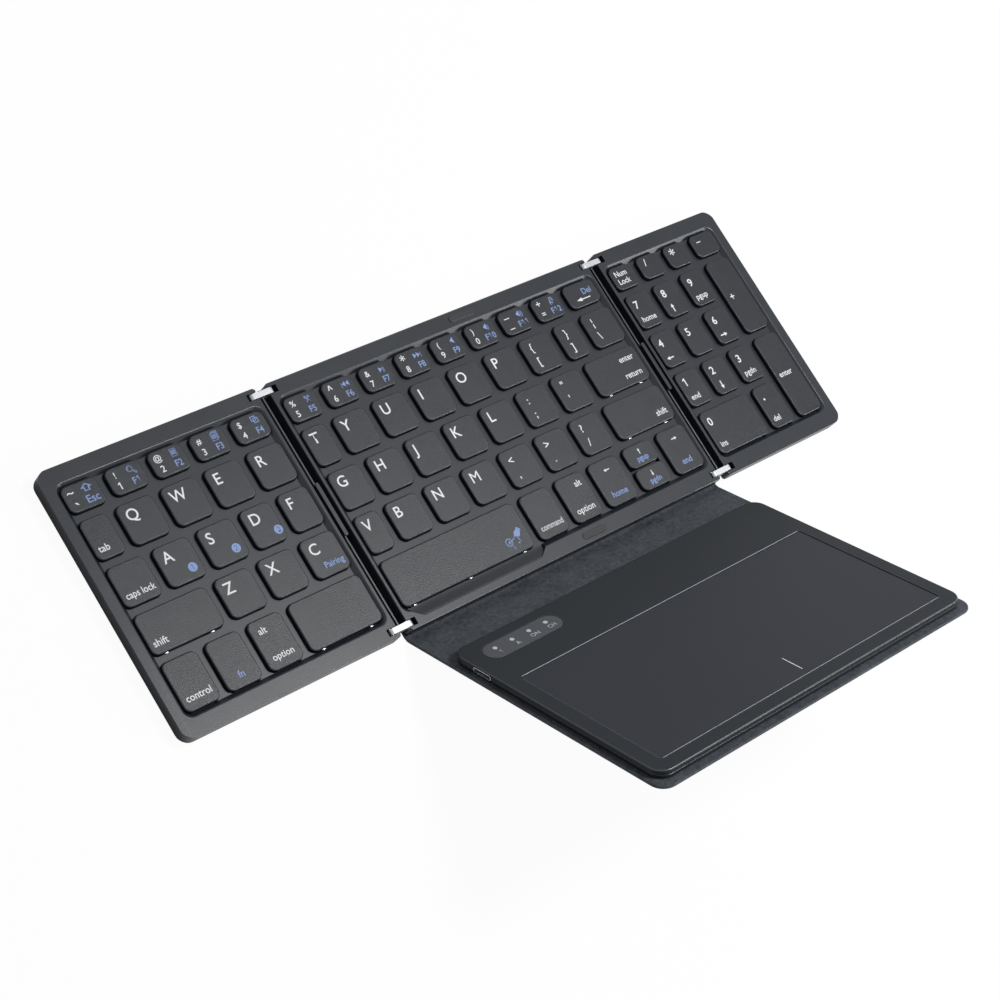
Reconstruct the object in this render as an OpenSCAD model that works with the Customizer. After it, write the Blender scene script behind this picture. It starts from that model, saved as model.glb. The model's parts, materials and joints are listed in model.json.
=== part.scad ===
// Folding keyboard in three panels with a keypad wing, and a touchpad on a leather cover.
// +X runs along the keyboard, +Y to its back and +Z up. The origin is on the underside of
// the cover, below the middle of the centre panel. The keyboard lies open and flat, and
// the touchpad is raised in front of it, as in the photograph.

/* [Keys] */
// Pitch of the letter keys
key_pitch = 18; // [17.6:0.1:19.2]
// Gap between two caps in a row
key_gap = 3.2; // [2.6:0.1:4]
// Gap between two rows
row_gap = 3; // [2.4:0.1:4]
// Depth of the caps in the number row
number_row_d = 9.9; // [8:0.1:12]
// Depth of the caps in a letter row
letter_row_d = 15.1; // [13:0.1:17]
// Depth of the caps in the bottom row
bottom_row_d = 18.5; // [15:0.1:20]
// Corner radius of a cap
cap_r = 2.6; // [1.5:0.1:3.2]
// Height of a cap
cap_h = 2.25; // [2.2:0.05:2.4]
// Wall around the hollow under a cap
cap_wall = 0.9; // [0.7:0.1:1.4]
// Roof over the hollow under a cap
cap_roof = 1; // [0.8:0.05:1.05]
// How far the caps stand above the bezel
cap_proud = 0.1; // [0:0.05:0.4]
// Travel of a key
key_travel = 1.2; // [0.8:0.1:1.2]
// Clearance around a cap in its hole
cap_clear = 0.3; // [0.2:0.05:0.5]
// Seam between the two half-size arrow keys
half_key_gap = 0.8; // [0.6:0.1:1.4]
// Height of a rubber dome
dome_h = 1.05; // [0.8:0.05:1.1]
// Radius of a rubber dome
dome_r = 2.2; // [1.6:0.1:2.6]

/* [Panels] */
// Thickness of a panel's case
panel_t = 5; // [5:0.1:6]
// Bezel behind the keys
bezel_back = 6.2; // [6:0.1:9]
// Bezel in front of the keys
bezel_front = 6.2; // [6:0.1:9]
// Bezel at the outer side of a wing
bezel_side = 4; // [3:0.1:6]
// Rim between the keys and a hinge
hinge_rim = 1.1; // [0.8:0.1:2]
// Space between the caps and the rims at their sides
tub_gap = 1.3; // [0.8:0.1:2]
// Space between the caps and the bezel behind them
tub_gap_back = 1.7; // [0.8:0.1:3]
// Space between the caps and the bezel in front of them
tub_gap_front = 1.9; // [1:0.1:3]
// Depth of the key well below the bezel
tub_depth = 1.6; // [1.2:0.1:1.8]
// Corner radius of the key well
tub_r = 3.6; // [2.6:0.1:4.5]
// How far the key well's walls slope in on their way down
tub_slope = 1.8; // [0.5:0.1:2]
// Thickness of the web between the keys
web_t = 0.8; // [0.6:0.1:1]
// Corner radius at a wing's outer side
corner_r = 4.6; // [3:0.1:7]
// Corner radius beside a hinge
hinge_corner_r = 1.2; // [0.5:0.1:1.4]
// Height of the lower case
base_h = 1.4; // [1.2:0.1:1.5]
// Floor of the lower case
base_floor = 0.8; // [0.6:0.1:0.9]
// Steel plate under the keys
steel_t = 0.5; // [0.3:0.05:0.6]
// Key membrane
membrane_t = 0.3; // [0.2:0.05:0.4]
// Clearance of the inner layers to the case
layer_clear = 0.3; // [0.2:0.1:0.8]
// Radius of a foot under a wing
foot_r = 3.6; // [2.5:0.1:5]
// Place of the feet from a wing's edges
foot_inset = 10; // [8:0.5:14]

/* [Thumb scoop and bumpers] */
// How far the scoop reaches into the front bezel
scoop_d = 3.2; // [2:0.1:4]
// Slant of the scoop's ends
scoop_slant = 4; // [2:0.5:6]
// Start of the scoop from the space bar's left end
scoop_left = 1.5; // [0:0.5:6]
// Reach of the scoop past the space bar's right end
scoop_right = 3; // [0:0.5:4]
// Length of a bumper
bumper_l = 11.8; // [8:0.1:16]
// Width of a bumper
bumper_w = 2.7; // [1.8:0.1:3]
// Depth of a bumper's groove
bumper_sunk = 0.7; // [0.5:0.1:1]
// How far a bumper stands above the bezel
bumper_proud = 0.4; // [0.2:0.1:0.6]
// Middle of a bumper from the panel's edge
bumper_inset = 3.2; // [2.6:0.1:4]

/* [Hinges] */
// Gap between two panels
hinge_gap = 4.6; // [4.6:0.1:6]
// Depth of the hinge pins below the bezel
pin_drop = 2.5; // [2.4:0.05:2.7]
// Radius of a hinge pin
pin_r = 0.7; // [0.5:0.05:0.8]
// Length of a hinge pin
pin_l = 5; // [4.6:0.1:5.2]
// Wall between a pin's end and the panel's edge
pin_wall = 0.6; // [0.5:0.1:0.8]
// Centre panel's pins from its edge
pin_inset = 1.1; // [1:0.05:1.3]
// How far a folded wing stands out past the centre panel
wing_shift = 0.5; // [0.3:0.05:0.6]
// Gap between the two folded wings
fold_gap = 0.4; // [0.3:0.1:1.5]
// Radius of a link's ends
link_end_r = 1.45; // [1.2:0.05:1.6]
// Thickness of a link
link_t = 2.2; // [1.6:0.1:2.4]
// Middle of a link from the panel's edge
link_inset = 2.9; // [2.7:0.1:3.2]
// Clearance of a link in its slot
link_clear = 0.3; // [0.2:0.05:0.4]
// Running clearance of a link on its pins
pin_clear = 0.05; // [0.02:0.01:0.1]
// Thickness of the spine's web
spine_web_t = 0.7; // [0.5:0.05:0.8]
// Thickness of the spine's foot
spine_foot_t = 0.45; // [0.3:0.05:0.5]
// Spine's foot from the panels at its sides
spine_side = 0.5; // [0.4:0.05:0.7]
// Spine's foot above the leather
spine_lift = 0.05; // [0.02:0.01:0.1]
// How far the spine's web reaches above the pins
spine_rise = 0.9; // [0.7:0.05:1]
// Length of the cable cover in the middle of a hinge
cable_cover_l = 21.5; // [15:0.5:30]
// Width of the cable cover
cable_cover_w = 1.5; // [1:0.1:1.6]
// Thickness of the cable cover's head
cable_cover_t = 0.6; // [0.4:0.05:0.65]

/* [Leather cover] */
// Thickness of the leather
leather_t = 1.2; // [1:0.1:1.6]
// Overhang of the leather past the centre panel, on each side
leather_over = 0.5; // [0:0.1:1]
// First fold line from the centre panel's front edge
fold_lead = 1.2; // [1.1:0.1:2]
// Distance between the two fold lines
flap_l = 18.5; // [18.5:0.1:24]
// Second fold line from the touchpad's back edge
pad_lead = 2.3; // [2:0.1:4]
// Clearance around a fold line
fold_clear = 0.4; // [0.3:0.05:0.5]
// Angle of the raised touchpad
rest_angle = 42; // [0:1:60]

/* [Touchpad] */
// Width of the touchpad case
pad_w = 153; // [130:1:154]
// Depth of the touchpad case
pad_d = 98.6; // [94:0.1:100]
// Height of the touchpad case
pad_t = 3.4; // [3.3:0.1:3.5]
// Corner radius of the touchpad case
pad_r = 5.5; // [3:0.1:8]
// Height of the touchpad's lower case
pad_base_h = 1.5; // [1.3:0.1:1.7]
// Wall of the touchpad case
pad_wall = 1.4; // [1:0.1:2]
// Floor of the touchpad's lower case
pad_floor = 0.8; // [0.6:0.1:1]
// Roof of the touchpad case
pad_roof = 1.2; // [1:0.1:1.3]
// Leather that shows in front of the touchpad case
leather_front = 3.1; // [1:0.1:5]
// Width of the touch plate
touch_w = 140.6; // [110:0.2:142]
// Depth of the touch plate
touch_d = 64.8; // [50:0.2:66]
// Thickness of the touch plate
touch_t = 0.6; // [0.4:0.05:0.7]
// Corner radius of the touch plate
touch_r = 1.2; // [0.6:0.1:3]
// How far the touch plate lies below the case
touch_sunk = 0.25; // [0.1:0.05:0.3]
// Touch plate from the case's front edge
touch_front = 6.1; // [5:0.1:9]
// Seam around the touch plate and the light window
seam = 0.2; // [0.1:0.05:0.4]
// Length of the light window
window_l = 34.4; // [31:0.2:40]
// Width of the light window
window_w = 9.2; // [7:0.2:12]
// Light window from the case's side
window_x = 7.1; // [6:0.1:20]
// Light window from the case's back edge
window_y = 5.2; // [3:0.1:7]
// Thickness of the light window
window_t = 0.8; // [0.6:0.05:0.9]
// Number of lights
lights = 4; // [2:1:4]
// Pitch of the lights
light_pitch = 7.9; // [6:0.1:8.5]
// Radius of a light
light_r = 0.85; // [0.5:0.05:1]
// Lights from the window's back edge
light_y = 3.3; // [2:0.1:4]
// Clearance around a light
light_clear = 0.1; // [0.05:0.01:0.15]
// Windows and lights below the case's face
window_sunk = 0.05; // [0.02:0.01:0.1]
// Width of the charging socket
port_w = 9; // [8:0.1:9.6]
// Height of the charging socket
port_h = 2.2; // [1.8:0.05:2.3]
// Length of the charging socket
port_l = 7; // [5:0.1:8]
// Wall of the charging socket
port_wall = 0.3; // [0.2:0.05:0.4]
// Middle of the charging socket from the case's back edge
port_y = 15.5; // [11:0.1:20]
// Thickness of the tongue in the charging socket
tongue_t = 0.4; // [0.3:0.05:0.5]
// Clearance in front of the tongue
tongue_inset = 1; // [0.8:0.1:1.5]
// Width and depth of the circuit board
board_size = [52, 19]; // [10:1:60]
// Thickness of the circuit board
board_t = 0.6; // [0.5:0.1:0.8]
// Circuit board from the case's back wall
board_gap = 0.5; // [0.3:0.1:1]
// Width and depth of the battery
battery_size = [62, 44]; // [20:1:70]
// Thickness of the battery
battery_t = 1.2; // [0.8:0.1:1.2]

/* [Screws] */
// Radius of a screw's head
screw_head_r = 1.6; // [1.2:0.1:1.8]
// Radius of a screw's shank
screw_r = 0.7; // [0.5:0.05:0.9]
// Length of a screw
screw_l = 3; // [2.5:0.1:3.4]
// Height of a screw's head
screw_head_h = 0.6; // [0.4:0.05:0.7]
// Clearance around a screw's head
screw_clear = 0.1; // [0.05:0.01:0.15]
// Space past a screw's end
screw_spare = 0.2; // [0.1:0.05:0.3]
// Width of the cross slot
screw_slot_w = 0.4; // [0.3:0.05:0.5]
// Depth of the cross slot
screw_slot_t = 0.3; // [0.2:0.05:0.4]
// Screws from a wing's ends
screw_x = 16; // [13:0.5:20]
// Screws from a wing's front and back edges
screw_y = 3.2; // [2.8:0.1:3.4]

/* [Hidden] */
$fn = 48;
eps = 0.01;

// Caps in pitches, from left to right, for each row from the back
left_rows = [
    [0.958, 0.958, 0.958, 0.958, 0.958],
    [0.79, 1, 1, 1, 1],
    [1, 1, 1, 0.9, 0.89],
    [1.79, 1, 1, 1],
    [0.96, 0.96, 0.96, 1.91]];
centre_rows = [
    [0.945, 0.945, 0.945, 0.945, 0.945, 0.945, 0.945, 0.945, 1.05],
    [0.778, 1, 1, 1, 1, 1, 1, 0.792, 1.04],
    [0.963, 1, 1, 1, 1, 1, 1, 1.647],
    [0.778, 1, 1, 1, 1, 1, 1, 1.832],
    [3.65, 0.98, 0.96, 1.01, 1.01, 1]];
keypad_rows = [
    [1, 1, 1, 1.06],
    [1, 1, 1, 1.06],
    [1, 1, 1],
    [1, 1, 1, 1.06],
    [2, 1]];

function sum_to(v, n) = n <= 0 ? 0 : v[n - 1] + sum_to(v, n - 1);
function total(v) = sum_to(v, len(v));

// Depth of the panels, from the rows of keys
row_d = [number_row_d, letter_row_d, letter_row_d, letter_row_d, bottom_row_d];
tub_d = tub_gap_back + total(row_d) + 4 * row_gap + tub_gap_front;
panel_d = bezel_back + tub_d + bezel_front;
tub_back = panel_d / 2 - bezel_back;
tub_front = tub_back - tub_d;

// Widths of the panels: the folded wings lie side by side on the centre panel
left_w = bezel_side + 2 * tub_gap + hinge_rim + total(left_rows[0]) * key_pitch - key_gap;
centre_w = 2 * (hinge_rim + tub_gap) + total(centre_rows[0]) * key_pitch - key_gap;
right_w = centre_w - left_w + 2 * wing_shift - fold_gap;
keypad_pitch = (right_w - bezel_side - hinge_rim - 2 * tub_gap + key_gap) / total(keypad_rows[0]);

// Edges of the panels
centre_x0 = -centre_w / 2;
centre_x1 = centre_w / 2;
left_x1 = centre_x0 - hinge_gap;
left_x0 = left_x1 - left_w;
right_x0 = centre_x1 + hinge_gap;
right_x1 = right_x0 + right_w;

// First cap of each panel
left_cap_x = left_x0 + bezel_side + tub_gap;
centre_cap_x = centre_x0 + hinge_rim + tub_gap;
keypad_cap_x = right_x0 + hinge_rim + tub_gap;

// Heights
top_z = leather_t + panel_t;
split_z = leather_t + base_h;
floor_z = leather_t + base_floor;
membrane_z = floor_z + steel_t + membrane_t;
web_z = top_z - tub_depth;
cap_top = top_z + cap_proud;
cap_bottom = cap_top - cap_h;

// Hinges
wing_pin_inset = pin_inset + wing_shift;
pin_z = top_z - pin_drop;
pin_gap = hinge_gap + pin_inset + wing_pin_inset;
link_h = pin_drop + link_end_r;
slot_reach = pin_drop + link_clear;
slot_z = pin_z - link_end_r - link_clear;
slot_w = link_t + 2 * link_clear;
link_y = panel_d / 2 - link_inset;
spine_l = 2 * link_y - link_t;
spine_foot_z = leather_t + spine_lift;
spine_web_z = pin_z + spine_rise;
spine_foot_w = hinge_gap - 2 * spine_side;
// The spine's web stands a little nearer to the centre panel than to the wing
spine_shift = wing_shift / 4;
bumper_x = centre_x0 - wing_shift + left_w + fold_gap / 2;

// Cover and touchpad, drawn flat in front of the first fold line
fold_y = -panel_d / 2 - fold_lead;
fold_z = leather_t / 2;
leather_w = centre_w + 2 * leather_over;
knuckle_r = leather_t / 2 + fold_clear;
pad_back = -flap_l - pad_lead;
pad_front = pad_back - pad_d;
leather_end = pad_front - leather_front;
pad_z = leather_t / 2;
pad_top = pad_z + pad_t;
pad_split = pad_z + pad_base_h;
pad_in = pad_z + pad_floor;
roof_in = pad_top - pad_roof;
touch_mid = pad_front + touch_front + touch_d / 2;
touch_z = pad_top - touch_sunk - touch_t;
window_mid = [-pad_w / 2 + window_x + window_l / 2, pad_back - window_y - window_w / 2];
port_mid_y = pad_back - port_y;
port_z = pad_z + pad_t / 2;
board_x = -pad_w / 2 + port_l + seam;

// ---- Shapes ----

// Rectangle from the origin, with its own radius at each corner:
// front left, front right, back right, back left
module outline(w, d, r) {
    at = [[0, 0], [w, 0], [w, d], [0, d]];
    inward = [[1, 1], [-1, 1], [-1, -1], [1, -1]];
    difference() {
        square([w, d]);
        for (i = [0:3])
            translate(at[i]) scale(inward[i]) translate([-eps, -eps]) square(r[i] + eps);
    }
    for (i = [0:3])
        translate([at[i].x + inward[i].x * r[i], at[i].y + inward[i].y * r[i]]) circle(r[i]);
}

// Slab with equal corner radii, centred on the Z axis
module slab(w, d, h, r) {
    translate([-w / 2, -d / 2, 0]) linear_extrude(h) outline(w, d, [r, r, r, r]);
}

module along_y(x, y0, y1, z) {
    translate([x, y1, z]) rotate([90, 0, 0]) linear_extrude(y1 - y0) children();
}

module front_and_back() {
    for (side = [-1, 1]) scale([1, side, 1]) children();
}

// ---- Keys ----

function row_back(row) = tub_back - tub_gap_back - sum_to(row_d, row) - row * row_gap;

// A cap as [left edge, back edge, width, depth]
function cap_at(x, pitch, rows, row, i) = [
    x + pitch * sum_to(rows[row], i), row_back(row), pitch * rows[row][i] - key_gap, row_d[row]];
function taller(cap, row) = [cap[0], cap[1], cap[2], cap[3] + row_gap + row_d[row]];
function left_cap(row, i) = cap_at(left_cap_x, key_pitch, left_rows, row, i);
function centre_cap(row, i) = cap_at(centre_cap_x, key_pitch, centre_rows, row, i);
function keypad_cap(row, i) = cap_at(keypad_cap_x, keypad_pitch, keypad_rows, row, i);
function left_caps(row, first, last) = [for (i = [first:last]) left_cap(row, i)];
function centre_caps(row, first, last) = [for (i = [first:last]) centre_cap(row, i)];
function keypad_caps(row, first, last) = [for (i = [first:last]) keypad_cap(row, i)];

arrow_cap = centre_cap(4, 4);
half_d = (bottom_row_d - half_key_gap) / 2;
up_cap = [arrow_cap[0], arrow_cap[1], arrow_cap[2], half_d];
down_cap = [arrow_cap[0], arrow_cap[1] - half_d - half_key_gap, arrow_cap[2], half_d];
space_cap = centre_cap(4, 0);
tall_caps = [taller(keypad_cap(1, 3), 2), taller(keypad_cap(3, 3), 4)];

all_left_caps = [for (r = [0:4]) for (i = [0:len(left_rows[r]) - 1]) left_cap(r, i)];
all_centre_caps = [for (r = [0:4]) for (i = [0:len(centre_rows[r]) - 1])
    if (r != 4 || i != 4) centre_cap(r, i)];
all_keypad_caps = concat(keypad_caps(0, 0, 3), keypad_caps(1, 0, 2), keypad_caps(2, 0, 2),
    keypad_caps(3, 0, 2), keypad_caps(4, 0, 1), tall_caps);

module at_cap(cap) {
    translate([cap[0] + cap[2] / 2, cap[1] - cap[3] / 2, 0]) children();
}

module key_cap(cap) {
    w = cap[2];
    d = cap[3];
    at_cap(cap) difference() {
        translate([0, 0, cap_bottom]) slab(w, d, cap_h, cap_r);
        translate([-w / 2 + cap_wall, -d / 2 + cap_wall, cap_bottom - 1])
            cube([w - 2 * cap_wall, d - 2 * cap_wall, cap_h - cap_roof + 1]);
    }
}

module key_caps(caps) {
    for (cap = caps) key_cap(cap);
}

// Shafts for the caps, through the web and up through the well's sloping walls
module key_holes(caps) {
    for (cap = caps)
        at_cap(cap) translate([0, 0, web_z - web_t - 1])
            slab(cap[2] + 2 * cap_clear, cap[3] + 2 * cap_clear, web_t + tub_depth + 2,
                cap_r + cap_clear);
}

// ---- Cases of the three panels ----

// left and right are the widths of the bezel or rim on each side of the key well
module sloping_well(x0, x1, left, right) {
    rise = tub_slope / tub_depth;
    hull() {
        translate([0, 0, web_z])
            well(x0, x1, left, right, tub_slope, tub_r - tub_slope, eps, $fn = 32);
        translate([0, 0, top_z + 1])
            well(x0, x1, left, right, -rise, tub_r + rise, eps, $fn = 32);
    }
}

module well(x0, x1, left, right, shrink, r, h) {
    translate([x0 + left + shrink, tub_front + shrink, 0])
        linear_extrude(h) outline(x1 - x0 - left - right - 2 * shrink, tub_d - 2 * shrink,
            [r, r, r, r]);
}

module panel_outline(x0, x1, left_r, right_r) {
    translate([x0, -panel_d / 2])
        outline(x1 - x0, panel_d, [left_r, right_r, right_r, left_r]);
}

// Slots and pin bores at one hinge; dir points from the hinge into the panel
module hinge_cuts(edge_x, inset, dir) {
    reach = inset + slot_reach;
    front_and_back() {
        translate([dir > 0 ? edge_x - 1 : edge_x - reach, link_y - slot_w / 2, slot_z])
            cube([reach + 1, slot_w, panel_t]);
        along_y(edge_x + dir * inset, panel_d / 2 - pin_wall - pin_l, panel_d / 2 - pin_wall,
            pin_z) circle(pin_r);
    }
}

module frame(x0, x1, left, right, left_r, right_r, caps) {
    difference() {
        translate([0, 0, split_z]) linear_extrude(top_z - split_z)
            panel_outline(x0, x1, left_r, right_r);
        sloping_well(x0, x1, left, right);
        translate([0, 0, split_z - 1])
            well(x0, x1, left, right, 0, tub_r, web_z - web_t - split_z + 1);
        key_holes(caps);
    }
}

module base(x0, x1, left, right, left_r, right_r) {
    difference() {
        translate([0, 0, leather_t]) linear_extrude(base_h)
            panel_outline(x0, x1, left_r, right_r);
        translate([0, 0, floor_z]) well(x0, x1, left, right, 0, tub_r, base_h);
    }
}

module steel_plate(x0, x1, left, right) {
    color("lightsteelblue") translate([0, 0, floor_z])
        well(x0, x1, left, right, layer_clear, tub_r, steel_t);
}

module membrane(x0, x1, left, right, caps) {
    color("beige") {
        translate([0, 0, floor_z + steel_t])
            well(x0, x1, left, right, layer_clear, tub_r, membrane_t);
        for (cap = caps)
            at_cap(cap) translate([0, 0, membrane_z - eps])
                cylinder(h = dome_h + eps, r1 = dome_r, r2 = dome_r / 2);
    }
}

module centre_frame() {
    color("#4b4e54") difference() {
        frame(centre_x0, centre_x1, hinge_rim, hinge_rim, hinge_corner_r, hinge_corner_r,
            concat(all_centre_caps, [arrow_cap]));
        hinge_cuts(centre_x0, pin_inset, 1);
        hinge_cuts(centre_x1, pin_inset, -1);
        thumb_scoop();
        bumpers(bumper_sunk, bumper_sunk + 1);
    }
}

// A cove in the front bezel before the space bar, as deep as the key well
module thumb_scoop() {
    x0 = space_cap[0] + scoop_left;
    x1 = space_cap[0] + space_cap[2] + scoop_right;
    y0 = tub_front - scoop_d;
    y1 = tub_front + tub_slope;
    rise = ((y1 - y0) * (y1 - y0) - tub_depth * tub_depth) / (2 * tub_depth);
    intersection() {
        translate([0, 0, web_z]) linear_extrude(tub_depth + 1)
            polygon([[x0, y1], [x0, tub_front], [x0 + scoop_slant, y0], [x1 - scoop_slant, y0],
                [x1, tub_front], [x1, y1]]);
        translate([x0 - 1, y1, top_z + rise]) rotate([0, 90, 0])
            cylinder(h = x1 - x0 + 2, r = tub_depth + rise, $fn = 96);
    }
}

module bumpers(sunk, h) {
    for (y = [-1, 1])
        translate([bumper_x, y * (panel_d / 2 - bumper_inset), top_z - sunk])
            slab(bumper_l, bumper_w, h, bumper_w / 2 - eps);
}

module fold_bumpers() {
    color("#35373b") bumpers(bumper_sunk, bumper_sunk + bumper_proud);
}

module centre_base() {
    color("#45484d") difference() {
        base(centre_x0, centre_x1, hinge_rim, hinge_rim, hinge_corner_r, hinge_corner_r);
        hinge_cuts(centre_x0, pin_inset, 1);
        hinge_cuts(centre_x1, pin_inset, -1);
    }
}

module centre_plate() {
    steel_plate(centre_x0, centre_x1, hinge_rim, hinge_rim);
}

module centre_membrane() {
    membrane(centre_x0, centre_x1, hinge_rim, hinge_rim,
        concat(all_centre_caps, [up_cap, down_cap]));
}

// Screw places of a wing from its edges
module at_wing_screws(x0, x1) {
    for (x = [x0 + screw_x, x1 - screw_x])
        for (y = [-1, 1]) translate([x, y * (panel_d / 2 - screw_y), leather_t]) children();
}

module screw_holes(x0, x1) {
    at_wing_screws(x0, x1) {
        translate([0, 0, -1]) cylinder(h = screw_head_h + 1, r = screw_head_r + screw_clear);
        cylinder(h = screw_l + screw_spare, r = screw_r);
    }
}

module screws(x0, x1) {
    slot_l = 1.2 * screw_head_r;
    color("silver") at_wing_screws(x0, x1) {
        difference() {
            cylinder(h = screw_head_h, r = screw_head_r);
            for (turn = [0, 90]) rotate(turn)
                translate([-slot_l / 2, -screw_slot_w / 2, -1])
                    cube([slot_l, screw_slot_w, 1 + screw_slot_t]);
        }
        translate([0, 0, screw_head_h - eps])
            cylinder(h = screw_l - screw_head_h + eps, r = screw_r);
    }
}

module feet(x0, x1) {
    color("#2c2d30") for (x = [x0 + foot_inset, x1 - foot_inset])
        for (y = [-1, 1]) translate([x, y * (panel_d / 2 - foot_inset), 0])
            cylinder(h = leather_t, r = foot_r);
}

module left_frame() {
    color("#4b4e54") difference() {
        frame(left_x0, left_x1, bezel_side, hinge_rim, corner_r, hinge_corner_r, all_left_caps);
        hinge_cuts(left_x1, wing_pin_inset, -1);
        screw_holes(left_x0, left_x1);
    }
}

module left_base() {
    color("#45484d") difference() {
        base(left_x0, left_x1, bezel_side, hinge_rim, corner_r, hinge_corner_r);
        hinge_cuts(left_x1, wing_pin_inset, -1);
        screw_holes(left_x0, left_x1);
    }
}

module left_plate() {
    steel_plate(left_x0, left_x1, bezel_side, hinge_rim);
}

module left_membrane() {
    membrane(left_x0, left_x1, bezel_side, hinge_rim, all_left_caps);
}

module left_feet() {
    feet(left_x0, left_x1);
}

module left_screws() {
    screws(left_x0, left_x1);
}

module right_frame() {
    color("#4b4e54") difference() {
        frame(right_x0, right_x1, hinge_rim, bezel_side, hinge_corner_r, corner_r,
            all_keypad_caps);
        hinge_cuts(right_x0, wing_pin_inset, 1);
        screw_holes(right_x0, right_x1);
    }
}

module right_base() {
    color("#45484d") difference() {
        base(right_x0, right_x1, hinge_rim, bezel_side, hinge_corner_r, corner_r);
        hinge_cuts(right_x0, wing_pin_inset, 1);
        screw_holes(right_x0, right_x1);
    }
}

module right_plate() {
    steel_plate(right_x0, right_x1, hinge_rim, bezel_side);
}

module right_membrane() {
    membrane(right_x0, right_x1, hinge_rim, bezel_side, all_keypad_caps);
}

module right_feet() {
    feet(right_x0, right_x1);
}

module right_screws() {
    screws(right_x0, right_x1);
}

// ---- Hinges ----

module hinge_pins(x) {
    color("silver") front_and_back()
        along_y(x, panel_d / 2 - pin_wall - pin_l, panel_d / 2 - pin_wall, pin_z) circle(pin_r);
}

module centre_pins() {
    hinge_pins(centre_x0 + pin_inset);
    hinge_pins(centre_x1 - pin_inset);
}

module left_pins() {
    hinge_pins(left_x1 - wing_pin_inset);
}

module right_pins() {
    hinge_pins(right_x0 + wing_pin_inset);
}

// A link from the pin at x to the pin one pin gap to its right, at the front and the back
module links(x) {
    color("gainsboro") front_and_back()
        along_y(x, link_y - link_t / 2, link_y + link_t / 2, pin_z) difference() {
            translate([-link_end_r, -link_end_r])
                outline(pin_gap + 2 * link_end_r, link_h, [for (i = [0:3]) link_end_r]);
            circle(pin_r + pin_clear);
            translate([pin_gap, 0]) circle(pin_r + pin_clear);
        }
}

// Bar between the two links, with a foot under the gap; mid_x is midway between the pins
module spine(mid_x, to_centre) {
    color("#2b2c2f") {
        along_y(mid_x + to_centre * spine_shift - spine_web_t / 2, -spine_l / 2, spine_l / 2,
            spine_foot_z) square([spine_web_t, spine_web_z - spine_foot_z]);
        along_y(mid_x + to_centre * wing_shift / 2 - spine_foot_w / 2, -spine_l / 2, spine_l / 2,
            spine_foot_z) square([spine_foot_w, spine_foot_t]);
    }
}

// Cover over the cable in the middle of a hinge: a rounded head on a stem
module cable_cover(mid_x, to_centre) {
    head_z = top_z - cable_cover_t;
    color("#3c3e42") {
        translate([mid_x + to_centre * spine_shift - spine_web_t / 2,
            -cable_cover_l / 2 + cable_cover_w / 2, spine_web_z])
            cube([spine_web_t, cable_cover_l - cable_cover_w, head_z - spine_web_z + eps]);
        translate([mid_x, 0, head_z])
            slab(cable_cover_w, cable_cover_l, cable_cover_t, cable_cover_w / 2 - eps);
    }
}

left_pin_x = left_x1 - wing_pin_inset;
right_pin_x = centre_x1 - pin_inset;
left_mid_x = left_pin_x + pin_gap / 2;
right_mid_x = right_pin_x + pin_gap / 2;

module left_links() {
    links(left_pin_x);
}

module left_spine() {
    spine(left_mid_x, 1);
}

module left_cable_cover() {
    cable_cover(left_mid_x, 1);
}

module right_links() {
    links(right_pin_x);
}

module right_spine() {
    spine(right_mid_x, -1);
}

module right_cable_cover() {
    cable_cover(right_mid_x, -1);
}

// ---- Leather cover ----

// Moves what is drawn flat before the first fold line to its raised place
module raised() {
    translate([0, fold_y, fold_z]) rotate([-rest_angle, 0, 0]) children();
}

module leather_centre() {
    color("#4e5157") difference() {
        translate([-leather_w / 2, fold_y, 0]) cube([leather_w, panel_d + fold_lead, leather_t]);
        translate([-leather_w / 2 - 1, fold_y, fold_z]) rotate([0, 90, 0])
            cylinder(h = leather_w + 2, r = knuckle_r);
    }
}

module leather_flap() {
    color("#53565c") raised() {
        translate([-leather_w / 2, -flap_l, -leather_t / 2])
            cube([leather_w, flap_l, leather_t]);
        for (y = [0, -flap_l]) translate([-leather_w / 2, y, 0]) rotate([0, 90, 0])
            cylinder(h = leather_w, r = leather_t / 2);
    }
}

module leather_pad() {
    color("#4e5157") raised() difference() {
        translate([-leather_w / 2, leather_end, -leather_t / 2]) linear_extrude(leather_t)
            outline(leather_w, -flap_l - leather_end, [pad_r, pad_r, fold_clear, fold_clear]);
        translate([-leather_w / 2 - 1, -flap_l, 0]) rotate([0, 90, 0])
            cylinder(h = leather_w + 2, r = knuckle_r);
    }
}

// ---- Touchpad ----

module pad_slab(shrink, z, h) {
    translate([0, pad_front + pad_d / 2, z])
        slab(pad_w - 2 * shrink, pad_d - 2 * shrink, h, pad_r - shrink);
}

// A slab with round ends, from start past the case's left side inwards
module socket_slab(grow, start, l) {
    translate([-pad_w / 2 + start, port_mid_y, port_z]) rotate([90, 0, 90])
        slab(port_w + 2 * grow, port_h + 2 * grow, l, port_h / 2 + grow - eps);
}

module pad_base() {
    color("#3c3f43") raised() difference() {
        pad_slab(0, pad_z, pad_base_h);
        pad_slab(pad_wall, pad_in, pad_base_h);
        socket_slab(seam / 2, -1, port_l + 1);
    }
}

module pad_cover() {
    color("#44474c") raised() difference() {
        pad_slab(0, pad_split, pad_top - pad_split);
        pad_slab(pad_wall, pad_split - 1, roof_in - pad_split + 1);
        translate([0, touch_mid, touch_z])
            slab(touch_w + 2 * seam, touch_d + 2 * seam, pad_t, touch_r + seam);
        translate([window_mid.x, window_mid.y, pad_top - window_t])
            slab(window_l + 2 * seam, window_w + 2 * seam, pad_t, window_w / 2 + seam - eps);
        at_lights() cylinder(h = 2 * pad_top, r = light_r + light_clear);
        socket_slab(seam / 2, -1, port_l + 1);
    }
}

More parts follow.
